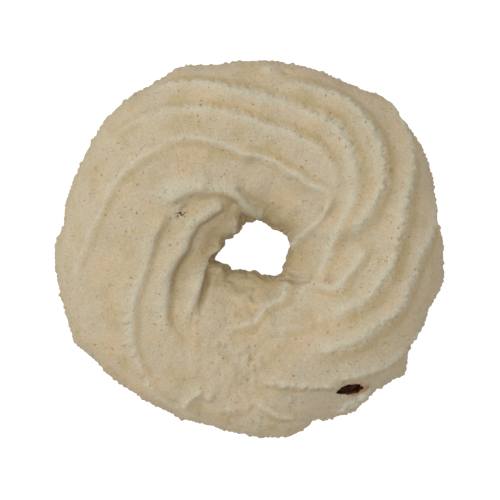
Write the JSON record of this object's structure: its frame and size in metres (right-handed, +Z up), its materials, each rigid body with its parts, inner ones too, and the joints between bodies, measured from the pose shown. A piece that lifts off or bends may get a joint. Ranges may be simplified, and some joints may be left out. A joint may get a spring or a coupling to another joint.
{
  "type": "butter cookie",
  "caption": "Piped ring butter cookie with twisted star-nozzle ridges, an off-centre hole, a lapped end and a dark fruit piece showing in its wall.",
  "frame": {"origin": "centre of the bounding box, on the surface that the cookie lies on", "axes": "+Z up through the hole, +X to the right and +Y away in the view from above, with the lapped end of the strand towards -Y"},
  "size_m": [0.06, 0.0582, 0.0147],
  "materials": {
    "baked_dough": "dry, fine-crumbed pale baked dough",
    "dark_fruit": "sticky dark red-brown dried fruit"
  },
  "bodies": {
    "root": {"cookie_ring": "baked_dough", "fruit_piece": "dark_fruit"}
  },
  "joints": []
}
